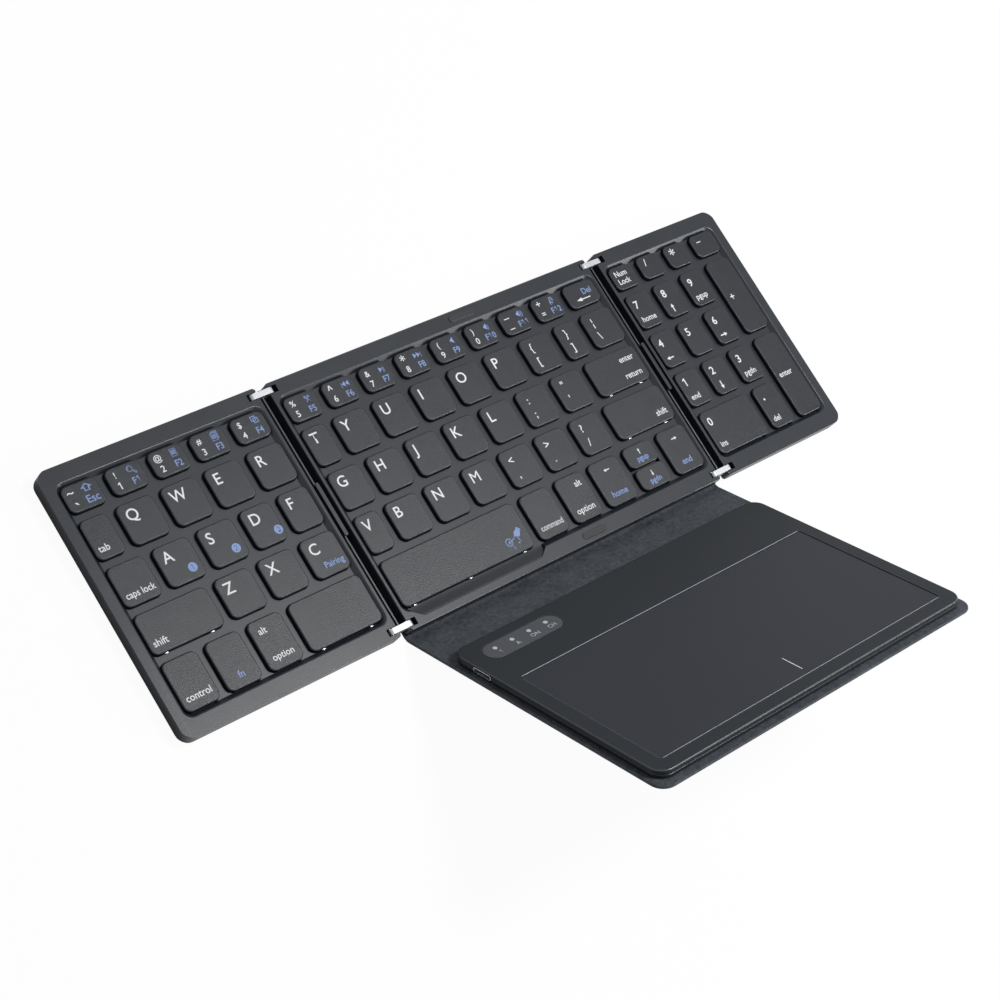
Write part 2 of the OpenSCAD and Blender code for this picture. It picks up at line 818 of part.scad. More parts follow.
module touch_plate() {
    color("#4a4d52") raised() translate([0, touch_mid, touch_z])
        slab(touch_w, touch_d, touch_t, touch_r);
}

module at_lights() {
    for (i = [0:lights - 1])
        translate([window_mid.x + (i - (lights - 1) / 2) * light_pitch,
            pad_back - window_y - light_y, 0]) children();
}

module light_window() {
    color("#5a5d63") raised() difference() {
        translate([window_mid.x, window_mid.y, pad_top - window_t])
            slab(window_l, window_w, window_t - window_sunk, window_w / 2 - eps);
        at_lights() cylinder(h = 2 * pad_top, r = light_r + light_clear);
    }
}

module lights() {
    color("white") raised() at_lights() translate([0, 0, pad_in + board_t])
        cylinder(h = pad_top - window_sunk - pad_in - board_t, r = light_r);
}

module charging_socket() {
    color("silver") raised() {
        difference() {
            socket_slab(-seam / 2, 0, port_l);
            socket_slab(-seam / 2 - port_wall, -1, port_l - port_wall + 1);
        }
        translate([-pad_w / 2 + tongue_inset, port_mid_y - 0.35 * port_w, port_z - tongue_t / 2])
            cube([port_l - tongue_inset - port_wall / 2, 0.7 * port_w, tongue_t]);
    }
}

module circuit_board() {
    color("darkgreen") raised()
        translate([board_x, pad_back - pad_wall - board_gap - board_size.y, pad_in])
            cube([board_size.x, board_size.y, board_t]);
}

module battery() {
    color("lightgray") raised()
        translate([-battery_size.x / 2, touch_mid - battery_size.y / 2, pad_in])
            cube([battery_size.x, battery_size.y, battery_t]);
}

// ---- Sub-parts, one at a time or all together ----

centre_frame();
centre_base();
centre_plate();
centre_membrane();
centre_pins();
fold_bumpers();
leather_centre();
left_frame();
left_base();
left_plate();
left_membrane();
left_pins();
left_feet();
left_screws();
right_frame();
right_base();
right_plate();
right_membrane();
right_pins();
right_feet();
right_screws();
left_links();
left_spine();
left_cable_cover();
right_links();
right_spine();
right_cable_cover();
leather_flap();
leather_pad();
pad_base();
pad_cover();
touch_plate();
light_window();
lights();
charging_socket();
circuit_board();
battery();

cap_colour = "#3a3c40";
color(cap_colour) key_caps(left_caps(0, 0, 4));  // left_number_keys
color(cap_colour) key_caps(left_caps(1, 0, 4));  // left_upper_keys
color(cap_colour) key_caps(left_caps(2, 0, 4));  // left_home_keys
color(cap_colour) key_caps(left_caps(3, 0, 3));  // left_lower_keys
color(cap_colour) key_caps(left_caps(4, 0, 2));  // left_modifier_keys
color(cap_colour) key_caps(left_caps(4, 3, 3));  // left_space_key
color(cap_colour) key_caps(centre_caps(0, 0, 8));  // centre_number_keys
color(cap_colour) key_caps(centre_caps(1, 0, 8));  // centre_upper_keys
color(cap_colour) key_caps(centre_caps(2, 0, 6));  // centre_home_keys
color(cap_colour) key_caps(centre_caps(2, 7, 7));  // enter_key
color(cap_colour) key_caps(centre_caps(3, 0, 6));  // centre_lower_keys
color(cap_colour) key_caps(centre_caps(3, 7, 7));  // right_shift_key
color(cap_colour) key_caps([space_cap]);  // space_bar
color(cap_colour)  // centre_bottom_keys
    key_caps([centre_cap(4, 1), centre_cap(4, 2), centre_cap(4, 3), centre_cap(4, 5)]);
color(cap_colour) key_caps([up_cap]);  // up_key
color(cap_colour) key_caps([down_cap]);  // down_key
color(cap_colour) key_caps(keypad_caps(0, 0, 3));  // keypad_top_keys
color(cap_colour) key_caps(keypad_caps(1, 0, 2));  // keypad_789_keys
color(cap_colour) key_caps(keypad_caps(2, 0, 2));  // keypad_456_keys
color(cap_colour) key_caps(keypad_caps(3, 0, 2));  // keypad_123_keys
color(cap_colour) key_caps(keypad_caps(4, 0, 1));  // keypad_zero_keys
color(cap_colour) key_caps(tall_caps);  // keypad_tall_keys
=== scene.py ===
import json
import math

import bpy
from mathutils import Matrix, Vector


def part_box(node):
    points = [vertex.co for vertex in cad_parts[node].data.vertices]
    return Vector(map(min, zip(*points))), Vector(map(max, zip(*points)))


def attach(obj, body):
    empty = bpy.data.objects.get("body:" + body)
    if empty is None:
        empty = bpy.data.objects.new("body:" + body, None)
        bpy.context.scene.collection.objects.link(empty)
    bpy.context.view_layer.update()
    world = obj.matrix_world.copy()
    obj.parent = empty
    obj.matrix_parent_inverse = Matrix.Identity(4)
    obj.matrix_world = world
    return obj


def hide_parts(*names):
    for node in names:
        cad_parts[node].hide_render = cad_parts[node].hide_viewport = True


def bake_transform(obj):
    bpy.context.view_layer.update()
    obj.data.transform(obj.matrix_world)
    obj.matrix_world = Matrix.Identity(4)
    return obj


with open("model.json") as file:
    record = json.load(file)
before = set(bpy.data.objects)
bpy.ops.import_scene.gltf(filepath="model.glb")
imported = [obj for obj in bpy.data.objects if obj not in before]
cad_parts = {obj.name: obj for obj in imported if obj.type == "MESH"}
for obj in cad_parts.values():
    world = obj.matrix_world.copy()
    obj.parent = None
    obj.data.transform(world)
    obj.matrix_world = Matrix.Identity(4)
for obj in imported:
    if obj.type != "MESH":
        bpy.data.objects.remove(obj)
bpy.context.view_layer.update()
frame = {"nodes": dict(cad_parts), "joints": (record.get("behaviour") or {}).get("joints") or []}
cadNodes = frame["nodes"]
mm = 0.001

# the raised cover: its two fold lines give the slope that the flap and the touchpad stand at
joints = {joint["name"]: joint for joint in frame["joints"]}
foldLine = Vector(joints["cover_fold"]["pos_m"])
padLine = Vector(joints["touchpad_fold"]["pos_m"])
flapRun = padLine - foldLine
restAngle = math.atan2(flapRun.z, -flapRun.y)
raised = Matrix.Translation(foldLine) @ Matrix.Rotation(-restAngle, 4, "X")


# Handling pieces

def activate(piece):
    active = bpy.context.view_layer.objects.active
    if active and active.mode != "OBJECT":
        bpy.ops.object.mode_set(mode="OBJECT")
    bpy.ops.object.select_all(action="DESELECT")
    piece.select_set(True)
    bpy.context.view_layer.objects.active = piece


def deselectAll():
    bpy.ops.object.select_all(action="DESELECT")
    bpy.context.view_layer.objects.active = None


def openEdit(piece, everything=True):
    activate(piece)
    bpy.ops.object.mode_set(mode="EDIT")
    if everything:
        bpy.ops.mesh.select_all(action="SELECT")


def closeEdit():
    bpy.ops.object.mode_set(mode="OBJECT")


def pickEdges(piece, wanted):  # wanted gets an edge's middle and the normals of its faces
    mesh = piece.data
    sides = {}
    for face in mesh.polygons:
        for key in face.edge_keys:
            sides.setdefault(key, []).append(face.normal)
    bpy.context.scene.tool_settings.mesh_select_mode = (False, True, False)
    for group in (mesh.vertices, mesh.polygons):
        group.foreach_set("select", [False] * len(group))
    for edge in mesh.edges:
        ends = [mesh.vertices[i].co for i in edge.vertices]
        edge.select = wanted((ends[0] + ends[1]) / 2, sides.get(edge.key, []))


def bevelEdges(piece, width, segments, wanted):
    pickEdges(piece, wanted)
    openEdit(piece, everything=False)
    bpy.ops.mesh.bevel(offset=width * mm, segments=segments, profile=0.5, affect="EDGES",
                       clamp_overlap=True)
    closeEdit()


def applyModifier(piece, kind, **values):
    activate(piece)
    modifier = piece.modifiers.new(kind.title(), kind)
    for name, value in values.items():
        setattr(modifier, name, value)
    bpy.ops.object.modifier_apply(modifier=modifier.name)


def smooth(piece, angle=40):
    activate(piece)
    bpy.ops.object.shade_smooth_by_angle(angle=math.radians(angle))
    applyModifier(piece, "WEIGHTED_NORMAL", mode="FACE_AREA", keep_sharp=True)


# Marks the faces whose colour is made lighter: partly real edge wear, partly a painted highlight
# along rounded rims
def markWearAndHighlight(piece, wanted):  # wanted gets a face's middle and normal
    wear = piece.data.attributes.new("edgeWear", "FLOAT", "FACE")
    for face in piece.data.polygons:
        wear.data[face.index].value = 1 if wanted(face.center, face.normal) else 0


def finish(piece, body, material, nodes=()):
    piece.data.materials.clear()
    piece.data.materials.append(material)
    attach(piece, body)
    if nodes:
        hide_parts(*nodes)
    return piece


# A copy of a CAD node to round off: its doubles are merged and its flat sides made whole again.
# A raised node is laid flat first
def softCopy(node, name, laidFlat=False):
    piece = bpy.data.objects.new(name, cadNodes[node].data.copy())
    bpy.context.scene.collection.objects.link(piece)
    if laidFlat:
        piece.data.transform(raised.inverted())
    openEdit(piece)
    bpy.ops.mesh.customdata_custom_splitnormals_clear()
    bpy.ops.mesh.remove_doubles(threshold=2e-6)
    bpy.ops.mesh.dissolve_limited(angle_limit=math.radians(1))
    closeEdit()
    return piece


def settle(piece):  # leaves the object at the origin, with its place in its mesh
    activate(piece)
    bpy.ops.object.transform_apply(location=True, rotation=True, scale=True)
    return piece


def joinPieces(pieces, name):
    activate(pieces[0])
    for piece in pieces:
        piece.select_set(True)
    bpy.ops.object.join()
    joined = bpy.context.view_layer.objects.active
    joined.name = name
    return settle(joined)


# Shader maths

class Wire:
    def __init__(self, nodes, socket):
        self.nodes = nodes
        self.socket = socket

    def maths(self, operation, *others, turned=False):
        terms = [self, *others]
        if turned:
            terms.reverse()
        return self.nodes.node("Math", {"operation": operation}, dict(enumerate(terms)))

    def __add__(self, other):
        return self.maths("ADD", other)

    def __sub__(self, other):
        return self.maths("SUBTRACT", other)

    def __rsub__(self, other):
        return self.maths("SUBTRACT", other, turned=True)

    def __mul__(self, other):
        return self.maths("MULTIPLY", other)

    __radd__ = __add__
    __rmul__ = __mul__

    def clamped(self):
        return self.nodes.node("Clamp", {}, {0: self})

    def above(self, low, high):  # 0 below low, 1 above high
        return self.nodes.node("MapRange", {"interpolation_type": "SMOOTHSTEP"},
                               {0: self, 1: low, 2: high})


class Nodes:
    def __init__(self, tree):
        self.tree = tree

    # settings come first, then the sockets' values or links by number or name
    def node(self, kind, settings, values, output=0):
        made = self.tree.nodes.new("ShaderNode" + kind)
        for name, value in settings.items():
            setattr(made, name, value)
        for key, value in values.items():
            if isinstance(value, Wire):
                self.tree.links.new(value.socket, made.inputs[key])
            else:
                made.inputs[key].default_value = value
        return Wire(self, made.outputs[output])


class Paint(Nodes):
    def __init__(self, name, **constants):
        self.material = bpy.data.materials.new(name)
        self.material.use_nodes = True
        super().__init__(self.material.node_tree)
        self.shader = self.tree.nodes["Principled BSDF"]
        for socket, value in constants.items():
            self.shader.inputs[socket.replace("_", " ")].default_value = value
        self.where = self.node("TexCoord", {}, {}, "Object")

    def noise(self, scale, detail=2, roughness=0.5, where=None):
        return self.node("TexNoise", {}, {"Vector": where or self.where, "Scale": scale,
                                          "Detail": detail, "Roughness": roughness})

    def cells(self, scale):  # 0 on the lines between the cells
        return self.node("TexVoronoi", {"feature": "DISTANCE_TO_EDGE"},
                         {"Vector": self.where, "Scale": scale})

    def stretched(self, x, y, z):
        return self.node("Mapping", {}, {"Vector": self.where, "Scale": (x, y, z)})

    def attribute(self, name):
        return self.node("Attribute", {"attribute_name": name}, {}, "Fac")

    def blend(self, share, first, second):
        return self.node("Mix", {"data_type": "RGBA"}, {0: share, 6: first, 7: second}, 2)

    def bump(self, height, strength, distance):
        return self.node("Bump", {}, {"Height": height, "Strength": strength,
                                      "Distance": distance * mm})

    def feed(self, **wires):
        for socket, wire in wires.items():
            self.tree.links.new(wire.socket, self.shader.inputs[socket.replace("_", " ")])
        return self.material


def tone(colour, factor):
    return (*[min(1, channel * factor) for channel in colour[:3]], 1)


# Finishes: grain, mottle and depth are sizes in mm, and the other values are shares

def mouldedFinish(name, look):
    paint = Paint(name, Specular_IOR_Level=look["shine"], Coat_Roughness=0.3)
    grain = paint.noise(1 / (look["grain"] * mm), 3, 0.6)
    coarse = paint.noise(0.3 / (look["grain"] * mm), 2)
    mottle = paint.noise(1 / (look["mottle"] * mm), 3, 0.55)
    scuffs = paint.noise(120, 4, 0.7, paint.stretched(1, 4, 1)).above(0.62, 0.8)
    # Marked faces are blended towards a lighter tone: partly rubbed wear, partly a painted
    # highlight on the rounded edges
    edge = paint.attribute("edgeWear")
    wear = edge * paint.noise(700, 3).above(0.3, 0.7) * look["wear"]
    shade = (grain - 0.5) * look["speckle"] + (mottle - 0.5) * look["variation"] + 0.5
    colour = paint.blend(shade.clamped(), tone(look["colour"], 0.62), tone(look["colour"], 1.38))
    colour = paint.blend(wear.clamped(), colour, tone(look["colour"], look["wearTone"]))
    rough = look["rough"] + (grain - 0.5) * 0.12 + (mottle - 0.5) * 0.1
    rough = rough - wear * 0.12 - scuffs * 0.05
    height = grain * 0.8 + coarse * 0.08
    return paint.feed(Base_Color=colour, Roughness=rough, Coat_Weight=edge * look["gloss"],
                      Normal=paint.bump(height, look["relief"], look["depth"]))


# The wear share and wear tone lighten the rounded edges: partly real wear, partly a painted
# highlight
caseLook = {"colour": (0.0120, 0.0155, 0.0220), "shine": 0.37, "rough": 0.34, "grain": 0.5,
            "mottle": 22, "speckle": 0.6, "variation": 0.35, "wear": 0.3, "wearTone": 2.4,
            "relief": 0.45, "depth": 0.06, "gloss": 0.4}
capLook = {"colour": (0.0065, 0.0088, 0.0140), "shine": 0.37, "rough": 0.32, "grain": 0.42,
           "mottle": 9, "speckle": 1.0, "variation": 0.3, "wear": 0.6, "wearTone": 4,
           "relief": 0.8, "depth": 0.15, "gloss": 0.3}
baseLook = dict(caseLook, colour=(0.0105, 0.0135, 0.0190))
padLook = {"colour": (0.0150, 0.0185, 0.0230), "shine": 0.18, "rough": 0.42, "grain": 0.18,
           "mottle": 30, "speckle": 0.2, "variation": 0.35, "wear": 0.3, "wearTone": 2.5,
           "relief": 0.12, "depth": 0.03, "gloss": 1.0}
touchLook = dict(padLook, colour=(0.023, 0.0265, 0.035), rough=0.40, speckle=0.1, relief=0.05)
# The spine is coloured lighter than the case: painted light that lifts its shaded hinge channel
spineLook = dict(padLook, colour=(0.035, 0.039, 0.046), rough=0.4, shine=0.4)
windowLook = dict(padLook, colour=(0.078, 0.084, 0.096), rough=0.30, relief=0.04, wear=0.2)
rubberLook = dict(caseLook, colour=(0.010, 0.012, 0.015), rough=0.55, wear=0, grain=0.6)

caseFinish = mouldedFinish("charcoalCase", caseLook)
baseFinish = mouldedFinish("charcoalLowerCase", baseLook)
capFinish = mouldedFinish("grainedCap", capLook)
padFinish = mouldedFinish("satinPadCase", padLook)
touchFinish = mouldedFinish("touchFilm", touchLook)
spineFinish = mouldedFinish("hingeSpine", spineLook)
windowFinish = mouldedFinish("smokedWindow", windowLook)
rubberFinish = mouldedFinish("softRubber", rubberLook)


leatherLook = {"colour": (0.053, 0.060, 0.070), "shine": 0.2, "rough": 0.66, "grain": 0.6,
               "fibre": 0.22, "mottle": 1.6, "cloud": 8, "relief": 0.45, "depth": 0.09}


def leatherFinish():
    look = leatherLook
    paint = Paint("charcoalLeather", Specular_IOR_Level=look["shine"], Sheen_Weight=0.1,
                  Sheen_Roughness=0.4)
    pebble = paint.cells(1 / (look["grain"] * mm)).above(0.0, 0.35)
    fibre = paint.noise(1 / (look["fibre"] * mm), 3, 0.6)
    mottle = paint.noise(1 / (look["mottle"] * mm), 4, 0.65)
    cloud = paint.noise(1 / (look["cloud"] * mm), 3, 0.6)
    shade = (mottle - 0.5) * 2.0 + (cloud - 0.5) * 1.0 + (pebble - 0.5) * 0.25 + 0.5
    colour = paint.blend(shade.clamped(), tone(look["colour"], 0.5), tone(look["colour"], 1.6))
    rough = look["rough"] + (mottle - 0.5) * 0.2 - pebble * 0.06
    height = pebble * 0.6 + fibre * 0.35 + mottle * 0.6
    return paint.feed(Base_Color=colour, Roughness=rough,
                      Normal=paint.bump(height, look["relief"], look["depth"]))


def metalFinish(name, colour, rough, brush):
    paint = Paint(name, Metallic=1.0)
    lines = paint.noise(900, 3, 0.6, paint.stretched(*brush))
    stain = paint.noise(260, 3)
    shade = (lines * 0.5 + stain * 0.5).clamped()
    return paint.feed(Base_Color=paint.blend(shade, tone(colour, 0.86), tone(colour, 1.08)),
                      Roughness=rough + (lines - 0.5) * 0.14 + (stain - 0.5) * 0.08,
                      Normal=paint.bump(lines, 0.06, 0.01))


def printFinish(name, colour, rough=0.5):
    paint = Paint(name, Specular_IOR_Level=0.4)
    ink = paint.noise(2600, 3, 0.6)
    shade = (ink * 0.8 + 0.1).clamped()
    return paint.feed(Base_Color=paint.blend(shade, tone(colour, 0.88), tone(colour, 1.08)),
                      Roughness=rough + (ink - 0.5) * 0.2, Normal=paint.bump(ink, 0.1, 0.01))


def lightFinish():
    paint = Paint("lightGuide", Roughness=0.25, Emission_Strength=0.08)
    frost = paint.noise(1500, 2)
    glow = paint.blend(frost, (0.42, 0.44, 0.48, 1), (0.60, 0.61, 0.64, 1))
    return paint.feed(Base_Color=glow, Emission_Color=glow)


def boardFinish():
    paint = Paint("circuitBoard", Specular_IOR_Level=0.5)
    tracks = paint.cells(450).above(0.02, 0.05)
    weave = paint.noise(1600, 2)
    colour = paint.blend(tracks, (0.25, 0.17, 0.05, 1), (0.012, 0.06, 0.025, 1))
    return paint.feed(Base_Color=colour, Roughness=0.35 + weave * 0.2,
                      Normal=paint.bump(tracks, 0.2, 0.02))


leather = leatherFinish()
linkMetal = metalFinish("brushedLink", (0.38, 0.39, 0.41), 0.5, (1, 0.15, 1))
pinMetal = metalFinish("turnedSteel", (0.62, 0.63, 0.65), 0.28, (1, 0.1, 1))
plateMetal = metalFinish("plateSteel", (0.50, 0.51, 0.53), 0.38, (0.1, 1, 1))
batteryFoil = metalFinish("batteryFoil", (0.55, 0.56, 0.58), 0.42, (1, 1, 1))
whitePrint = printFinish("whitePrint", (0.80, 0.81, 0.83))
bluePrint = printFinish("bluePrint", (0.22, 0.33, 0.62))
# Pale grey for the strips that paint the highlights along the touch area's edges
paintedHighlightFinish = printFinish("satinLine", (0.36, 0.38, 0.41), 0.35)
paleMark = printFinish("paleMark", (0.50, 0.52, 0.57))
membraneFinish = printFinish("domeMembrane", (0.022, 0.023, 0.026), 0.6)
lightGuide = lightFinish()
circuitFinish = boardFinish()
print("finishes made")


# Panels: three upper cases and three lower ones, with rounded rims

panelLook = {"rim": 0.5, "ridge": 0.28, "seam": 0.09, "foot": 0.4, "wearBand": 0.35,
             "corner": 4.7, "cornerShare": 0.62}
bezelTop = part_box("left_frame")[1].z
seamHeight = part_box("left_base")[1].z
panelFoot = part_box("left_base")[0].z


def near(value, target, slack=0.03):
    return abs(value - target) < slack * mm


def upAndSide(normals, least=-0.1, most=0.1):  # one face up, the other's slope between the two
    slopes = sorted(normal.z for normal in normals)
    return len(slopes) == 2 and slopes[1] > 0.99 and least < slopes[0] < most


def squareEdge(normals):
    return len(normals) == 2 and abs(normals[0].dot(normals[1])) < 0.3


# Near the outline of a box with round corners: share is how far a corner reaches inwards
def onRim(middle, low, high, corner, share):
    fromX = min(middle.x - low.x, high.x - middle.x)
    fromY = min(middle.y - low.y, high.y - middle.y)
    inCorner = fromX < corner and fromY < corner and fromX + fromY < share * corner
    return min(fromX, fromY) < 0.05 * mm or inCorner


def roundedFrame(panel):
    piece = softCopy(panel + "_frame", panel + "UpperCase")
    bevelEdges(piece, panelLook["ridge"], 3,
               lambda middle, normals: near(middle.z, bezelTop) and upAndSide(normals, 0.1, 0.95))
    bevelEdges(piece, panelLook["rim"], 4,
               lambda middle, normals: near(middle.z, bezelTop) and upAndSide(normals)
               and onOutline(panel, middle))
    bevelEdges(piece, panelLook["seam"], 1,
               lambda middle, normals: near(middle.z, seamHeight) and onOutline(panel, middle))
    smooth(piece, 30)
    # The sloped faces at the bezel top take the lighter edge colour: partly wear, partly a
    # painted highlight along the well's ridge
    markWearAndHighlight(piece, lambda middle, normal: middle.z > bezelTop - panelLook["wearBand"] * mm
             and 0.1 < normal.z < 0.985)
    return finish(piece, bodyOf(panel), caseFinish, [panel + "_frame"])


def roundedBase(panel):
    piece = softCopy(panel + "_base", panel + "LowerCase")
    bevelEdges(piece, panelLook["seam"], 1,
               lambda middle, normals: near(middle.z, seamHeight) and onOutline(panel, middle))
    bevelEdges(piece, panelLook["foot"], 3,
               lambda middle, normals: near(middle.z, panelFoot) and onOutline(panel, middle))
    smooth(piece, 30)
    markWearAndHighlight(piece, lambda middle, normal: -0.985 < normal.z < -0.1)
    return finish(piece, bodyOf(panel), baseFinish, [panel + "_base"])


def bodyOf(panel):
    return "centre" if panel == "centre" else panel + "_wing"


def onOutline(panel, middle):
    return onRim(middle, *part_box(panel + "_base"), panelLook["corner"] * mm,
                 panelLook["cornerShare"])


for panel in ("left", "centre", "right"):
    roundedFrame(panel)
    roundedBase(panel)
print("panels made")


# Caps: one soft copy for each row of keys

capLookSizes = {"round": 0.5, "segments": 4, "floatPrint": 0.012}
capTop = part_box("space_bar")[1].z
keyNodes = sorted(name for name in cadNodes
                  if "_key" in name or name == "space_bar")


def roundedCaps(node):
    piece = softCopy(node, node.replace("_", "") + "Caps")
    bevelEdges(piece, capLookSizes["round"], capLookSizes["segments"],
               lambda middle, normals: near(middle.z, capTop) and upAndSide(normals))
    smooth(piece, 40)
    # The caps' rounded top edges take the lighter edge colour: partly wear, partly a painted
    # highlight
    markWearAndHighlight(piece, lambda middle, normal: 0.15 < normal.z < 0.97)
    return finish(piece, node, capFinish, [node])


def capBoxes(piece):  # (left, front, right, back) of each cap in mm, from left to right
    mesh = piece.data
    owner = list(range(len(mesh.vertices)))

    def root(i):
        while owner[i] != i:
            owner[i] = owner[owner[i]]
            i = owner[i]
        return i

    for edge in mesh.edges:
        owner[root(edge.vertices[0])] = root(edge.vertices[1])
    groups = {}
    for vertex in mesh.vertices:
        groups.setdefault(root(vertex.index), []).append(vertex.co / mm)
    boxes = [(min(p.x for p in g), min(p.y for p in g), max(p.x for p in g), max(p.y for p in g))
             for g in groups.values()]
    return sorted(boxes, key=lambda box: (round(box[0], 1), -box[3]))


# Legends. A mark is its text, a style, and a colour where it isn't white.
# A style is: which side of the cap it is measured from, the distance from there,
# the baseline from the front edge, or from the back edge where it is negative,
# the height, and how far it is stretched

markStyles = {
    "letter": ("left", 2.3, -6.5, 4.1, 1),
    "word": ("left", 1.7, 2.7, 2.45, 0.96),
    "longWord": ("left", 1.7, 2.7, 2.4, 0.88),
    "wordMiddle": ("middle", 0, 3.2, 2.45, 0.96),
    "wordTight": ("middle", 0.2, 3.3, 2.3, 0.82),
    "wordHigh": ("left", 2.9, -5.3, 2.4, 0.96),
    "wordLow": ("left", 2.7, 3.2, 2.4, 0.96),
    "right": ("right", 2.6, 2.9, 2.4, 0.96),
    "rightHigh": ("right", 2.7, -5.4, 2.4, 0.96),
    "pairing": ("right", 1.6, 2.9, 2.3, 0.92),
    "bar": ("at", 3.5, -4.3, 3.0, 1.1),
    "lowBar": ("at", 3.7, 1.1, 3.0, 1.0),
    "plus": ("at", 3.4, -3.9, 2.9, 1),
    "caret": ("at", 3.3, -4.6, 3.2, 1),
    "smallStar": ("at", 3.4, -4.9, 3.6, 1),
    "home": ("at", 9.3, -4.0, 2.4, 1.45),
    "wideNumber": ("at", 9.7, 1.7, 2.7, 1),
    "scissors": ("at", 9.9, -3.9, 1.8, 0.9),
    "shifted": ("at", 3.3, -3.9, 2.2, 1),
    "digit": ("at", 3.4, 1.8, 2.4, 1),
    "number": ("at", 9.9, 1.8, 2.4, 0.92),
    "icon": ("at", 9.9, -4.1, 2.2, 1),
    "smallIcon": ("at", 9.9, -3.8, 1.5, 0.8),
    "soundIcon": ("at", 9.9, -3.9, 1.9, 0.75),
    "tilde": ("at", 3.0, -4.1, 3.2, 1),
    "grave": ("at", 3.5, -10.4, 4.0, 1.3),
    "sign": ("at", 4.3, -5.9, 3.1, 1),
    "signLow": ("at", 4.3, 3.3, 3.1, 1),
    "badge": ("at", 10.7, 2.7, 2.75, 1),
    "arrow": ("middle", 0, -5.6, 2.3, 1),
    "longArrow": ("at", 7.4, 1.3, 3.0, 2.05),
    "halfArrow": ("middle", 0, 4.7, 2.0, 1),
    "halfWord": ("middle", 0, 1.9, 2.2, 0.95),
    "padDigit": ("at", 3.4, -6.2, 3.2, 1),
    "padWord": ("left", 1.9, 2.8, 2.35, 0.96),
    "padArrow": ("at", 3.9, 2.3, 2.9, 1),
    "dot": ("at", 3.4, -6.2, 5.0, 1),
    "numUpper": ("left", 1.9, -4.3, 2.35, 0.92),
    "numLower": ("left", 1.9, 2.2, 2.35, 0.92),
    "topSign": ("at", 3.9, -4.4, 3.0, 1),
    "star": ("at", 3.9, -6.3, 4.6, 1),
    "tallSign": ("at", 3.6, -18.2, 3.2, 1),
    "tallWord": ("left", 2.0, -18.8, 2.35, 0.96),
    "slashedRing": ("right", 8.6, 4.3, 1.5, 1),
    "tiltedFrame": ("right", 4.6, 3.4, 3.0, 1),
    "hand": ("right", 2.4, 7.9, 3.0, 1),
}


def digitCap(shifted, digit, sign, number, icon="icon", upper="shifted", lower="digit"):
    return [(shifted, upper), (digit, lower), (sign, icon, "blue"), (number, "number", "blue")]


def letterCaps(letters):
    return [[(letter, "letter")] for letter in letters]


def signCap(upper, lower):
    return [(upper, "sign"), (lower, "signLow")]


